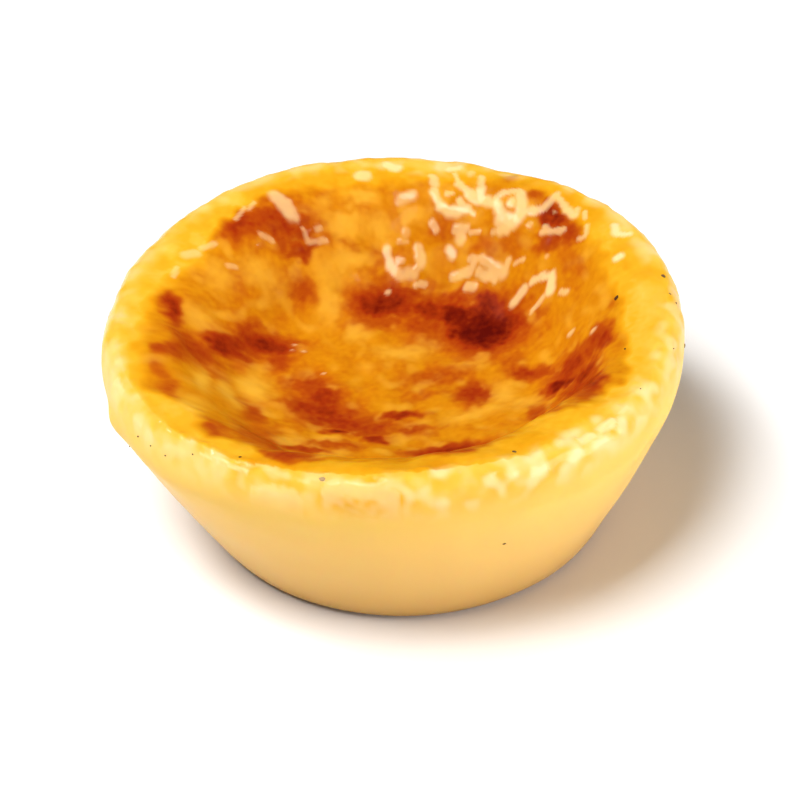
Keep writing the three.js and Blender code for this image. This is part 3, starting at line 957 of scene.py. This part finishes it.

# %% [markdown]
# The wall's ramp follows the height: pale yellow under the lip, warmer and darker towards the table, with a
# dark brown line at the foot. The darkening towards the table is painted shade. The underside can't be seen,
# and gets the tone of the low wall, painted shade included. Cream goes on last, because it lies on top, and
# with it the painted highlights.

# %% Custard finish: the wall with painted shade, the underside, the cream and painted highlights
# Darker towards the table: painted shade. The first stop is the dark line at the foot.
WALL_COLOURS_AND_PAINTED_SHADE = [
    (0.00, (0.32, 0.14, 0.033)),
    (0.025, (0.56, 0.315, 0.090)),
    (0.12, (0.63, 0.36, 0.106)),
    (0.35, (0.73, 0.43, 0.123)),
    (0.60, (0.82, 0.485, 0.121)),
    (0.80, (0.86, 0.53, 0.112)),
    (1.00, (0.85, 0.555, 0.160)),
]
UNDER_COLOUR = (0.62, 0.355, 0.105, 1)
# Pale cream, for the cream mottles and for the painted highlights.
CREAM_AND_HIGHLIGHT_COLOUR = (0.90, 0.66, 0.30, 1)

height = add_node("ShaderNodeSeparateXYZ")
links.new(where, height.inputs["Vector"])
height_share = add_node("ShaderNodeMapRange")
height_share.inputs["From Max"].default_value = solid_high.z
links.new(height.outputs["Z"], height_share.inputs["Value"])
wall = colour_ramp(WALL_COLOURS_AND_PAINTED_SHADE, height_share.outputs["Result"])
outside = mix_colours(read_layer("under_share"), wall, UNDER_COLOUR)
body = mix_colours(read_layer("wall_share"), top, outside)
creamed_and_highlighted = mix_colours(read_layer("cream_and_highlight"), body, CREAM_AND_HIGHLIGHT_COLOUR)
links.new(creamed_and_highlighted, shader.inputs["Base Color"])
print("colours of the wall:", len(WALL_COLOURS_AND_PAINTED_SHADE))

# %% [markdown]
# Custard is cloudy: light goes a millimetre or so into it and comes out warmer. That is subsurface
# scattering, and without it the custard would look like painted plaster. The shader's coat is the moist
# film over it, and its weight comes from the gloss layer. The shader's own reflection is nearly off,
# because it would shine everywhere alike.

# %% Custard finish: depth and moist film
CUSTARD_ROUGHNESS = 0.30
CUSTARD_SPECULAR = 0.01
CUSTARD_IOR = 1.42
SCATTER_WEIGHT = 0.5
SCATTER_DEPTH = 1.1 * MM
SCATTER_COLOUR = (1.0, 0.45, 0.16)
FILM_ROUGHNESS = 0.11

shader.inputs["Roughness"].default_value = CUSTARD_ROUGHNESS
shader.inputs["Specular IOR Level"].default_value = CUSTARD_SPECULAR
shader.inputs["IOR"].default_value = CUSTARD_IOR
shader.inputs["Subsurface Weight"].default_value = SCATTER_WEIGHT
shader.inputs["Subsurface Radius"].default_value = SCATTER_COLOUR
shader.inputs["Subsurface Scale"].default_value = SCATTER_DEPTH
links.new(read_layer("gloss"), shader.inputs["Coat Weight"])
shader.inputs["Coat Roughness"].default_value = FILM_ROUGHNESS
shader.inputs["Coat IOR"].default_value = CUSTARD_IOR
skin_mesh.materials.append(custard)
print("custard finish:", len(nodes), "nodes")

# %% [markdown]
# A few dark specks stick to the lip and the wall: crumbs of burnt skin, less than a millimetre long. They
# could be painted on, but a real crumb stands proud of the skin. So each is a small flattened pebble with
# an uneven outline. Specks on the lip are placed in plan, in millimetres, and those on the wall by their
# bearing in degrees and their height.

# %% Places of the specks
LipSpeck = namedtuple("LipSpeck", "x y half_long half_wide turn paleness")
WallSpeck = namedtuple("WallSpeck", "bearing height half_long half_wide turn paleness")
LIP_SPECKS = [
    LipSpeck(34.7, 4.3, 0.45, 0.30, 30, 0.15),
    LipSpeck(28.6, 2.7, 0.42, 0.50, -10, 0.0),
    LipSpeck(35.9, -0.5, 0.30, 0.10, 0, 0.2),
    LipSpeck(35.2, 0.6, 0.25, 0.09, 60, 0.3),
    LipSpeck(28.9, -8.0, 0.19, 0.15, 0, 0.0),
    LipSpeck(34.9, -8.7, 0.12, 0.10, 0, 0.1),
    LipSpeck(30.1, -17.2, 0.12, 0.10, 0, 0.1),
    LipSpeck(14.0, -30.2, 0.36, 0.24, 0, 0.1),
    LipSpeck(-8.9, -34.3, 0.46, 0.36, 0, 0.8),
    LipSpeck(-18.8, -28.3, 0.26, 0.20, 0, 0.0),
    LipSpeck(-24.6, -26.1, 0.15, 0.12, 0, 0.1),
]
WALL_SPECKS = [
    WallSpeck(-6.7, 25.0, 0.40, 0.14, 90, 0.2),
    WallSpeck(-68.3, 16.4, 0.30, 0.12, 10, 0.0),
    WallSpeck(-139.9, 25.8, 0.15, 0.12, 0, 0.1),
    WallSpeck(-144.5, 25.6, 0.13, 0.11, 0, 0.1),
    WallSpeck(-149.5, 25.0, 0.20, 0.14, 30, 0.1),
    WallSpeck(-157.0, 20.0, 0.18, 0.14, 20, 0.2),
    WallSpeck(-157.0, 16.2, 0.26, 0.18, 40, 0.3),
    WallSpeck(-155.0, 12.6, 0.16, 0.12, 0, 0.2),
]
print("specks:", len(LIP_SPECKS), "on the lip and", len(WALL_SPECKS), "on the wall")

# %% [markdown]
# Each pebble is laid where a ray meets the finished skin: down onto the lip, or inwards onto the wall. It
# starts as a ball of small triangles, noise swells it unevenly, and it is pressed flat along the skin's
# normal. All of them are one mesh, because they are one kind of thing.

# %% Specks on the lip and the wall
SPECK_THICKNESS = 0.12 * MM
SPECK_SIZE = 0.8 * MM
PEBBLE_ROUNDING = 2
PEBBLE_SWELL = 0.45
PEBBLE_BUMPS = 1.3
PEBBLE_SHIFT = 7.1
NEARLY_LEVEL = 0.1
OUTSIDE = 60 * MM

finished_skin = BVHTree.FromPolygons([Vector(p) for p in place_lumpy], faces)
pebble = bmesh.new()
bmesh.ops.create_icosphere(pebble, subdivisions=PEBBLE_ROUNDING, radius=1)
pebble_points = [corner.co.copy() for corner in pebble.verts]
pebble_faces = [[corner.index for corner in face.verts] for face in pebble.faces]
pebble.free()
speck_points = []
speck_faces = []
speck_paleness = []

def add_speck(speck, start, direction, number):
    """Lays one uneven pebble where a ray meets the finished skin."""
    hit, normal, _, _ = finished_skin.ray_cast(start, direction)
    level = Vector((0, 0, 1)).cross(normal)
    if level.length < NEARLY_LEVEL:
        level = Vector((1, 0, 0))
    level = level.normalized()
    upward = normal.cross(level)
    turn = math.radians(speck.turn)
    along = (level * math.cos(turn) + upward * math.sin(turn)) * speck.half_long * SPECK_SIZE
    across = (upward * math.cos(turn) - level * math.sin(turn)) * speck.half_wide * SPECK_SIZE
    shift = Vector((number * PEBBLE_SHIFT, 0, 0))
    first = len(speck_points)
    for corner in pebble_points:
        swell = 1 + PEBBLE_SWELL * noise.noise(corner * PEBBLE_BUMPS + shift)
        lift = normal * SPECK_THICKNESS * corner.z
        speck_points.append(hit + (along * corner.x + across * corner.y) * swell + lift)
        speck_paleness.append(speck.paleness)
    speck_faces.extend([[first + index for index in face] for face in pebble_faces])

for number, speck in enumerate(LIP_SPECKS):
    add_speck(speck, Vector((speck.x * MM, speck.y * MM, ABOVE)), down, number)
for number, speck in enumerate(WALL_SPECKS, len(LIP_SPECKS)):
    turn = math.radians(speck.bearing)
    outward = Vector((math.cos(turn), math.sin(turn), 0))
    add_speck(speck, outward * OUTSIDE + Vector((0, 0, speck.height * MM)), -outward, number)

specks_mesh = bpy.data.meshes.new("specks")
specks_mesh.from_pydata(speck_points, [], speck_faces)
specks_mesh.shade_smooth()
paleness_layer = specks_mesh.attributes.new("paleness", "FLOAT", "POINT")
paleness_layer.data.foreach_set("value", speck_paleness)
specks = bpy.data.objects.new("specks", specks_mesh)
bpy.context.collection.objects.link(specks)
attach(specks, "root")
print("specks mesh:", len(speck_points), "points")

# %% [markdown]
# Burnt crumbs are nearly black where they are thick, and tan where they are thin. Each speck carries its
# paleness, and one material mixes the two browns by it. Two materials would do as well, but then a speck
# could only be one or the other. Crumbs are dry, so they hardly shine.

# %% Burnt crumb finish
CRUMB_DARK = (0.085, 0.030, 0.008, 1)
CRUMB_PALE = (0.56, 0.36, 0.17, 1)
CRUMB_ROUGHNESS = 0.55
CRUMB_SPECULAR = 0.1

crumb = bpy.data.materials.new("burnt_crumb")
crumb.use_nodes = True
crumb_nodes = crumb.node_tree.nodes
crumb_links = crumb.node_tree.links
crumb_shader = crumb_nodes["Principled BSDF"]
paleness = crumb_nodes.new("ShaderNodeAttribute")
paleness.attribute_name = "paleness"
crumb_colour = crumb_nodes.new("ShaderNodeMix")
crumb_colour.data_type = "RGBA"
crumb_colour.inputs["A"].default_value = CRUMB_DARK
crumb_colour.inputs["B"].default_value = CRUMB_PALE
crumb_links.new(paleness.outputs["Fac"], crumb_colour.inputs["Factor"])
crumb_links.new(crumb_colour.outputs["Result"], crumb_shader.inputs["Base Color"])
crumb_shader.inputs["Roughness"].default_value = CRUMB_ROUGHNESS
crumb_shader.inputs["Specular IOR Level"].default_value = CRUMB_SPECULAR
specks_mesh.materials.append(crumb)
print("crumb finish:", len(crumb_nodes), "nodes")
